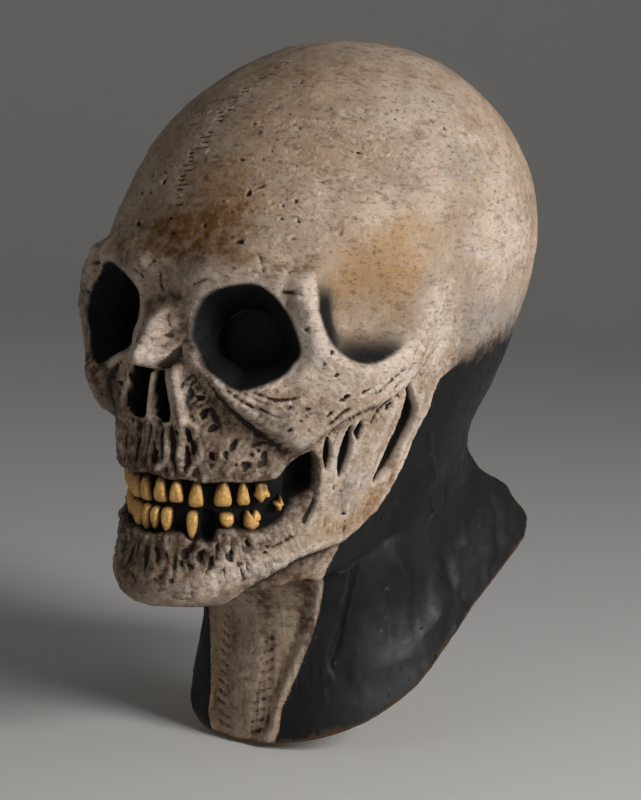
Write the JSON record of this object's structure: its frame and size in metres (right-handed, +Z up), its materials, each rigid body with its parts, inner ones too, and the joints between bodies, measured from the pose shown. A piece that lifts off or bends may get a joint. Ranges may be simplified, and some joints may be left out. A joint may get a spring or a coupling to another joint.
{
  "type": "skull mask",
  "caption": "Hollow over-the-head latex mask shaped as a bare human skull on a black neck, with gold-painted teeth and see-through black mesh behind the eye openings.",
  "frame": {"origin": "top of the inner skin of the crown, where the head carries the mask", "axes": "+Z up through the crown, -Y the way the face looks, +X the wearer's left"},
  "size_m": [0.189, 0.2715, 0.3384],
  "materials": {
    "latex": "bone paint with brown and black washes over latex, airbrushed to satin black on the neck",
    "eye_mesh": "fine black woven mesh, seen through from inside",
    "teeth": "satin gold paint, browner at the roots"
  },
  "bodies": {
    "root": {"latex_shell": "latex", "eye_mesh_left": "eye_mesh", "eye_mesh_right": "eye_mesh", "tooth_upper_left_1": "teeth", "tooth_upper_left_2": "teeth", "tooth_upper_left_3": "teeth", "tooth_upper_left_4": "teeth", "tooth_upper_left_5": "teeth", "tooth_upper_left_6": "teeth", "tooth_upper_left_7": "teeth", "tooth_upper_right_1": "teeth", "tooth_upper_right_2": "teeth", "tooth_upper_right_3": "teeth", "tooth_upper_right_4": "teeth", "tooth_upper_right_5": "teeth", "tooth_upper_right_6": "teeth", "tooth_lower_left_1": "teeth", "tooth_lower_left_2": "teeth", "tooth_lower_left_3": "teeth", "tooth_lower_left_4": "teeth", "tooth_lower_left_5": "teeth", "tooth_lower_right_1": "teeth", "tooth_lower_right_2": "teeth", "tooth_lower_right_3": "teeth", "tooth_lower_right_4": "teeth", "tooth_lower_right_5": "teeth", "tooth_lower_right_6": "teeth"}
  },
  "joints": []
}
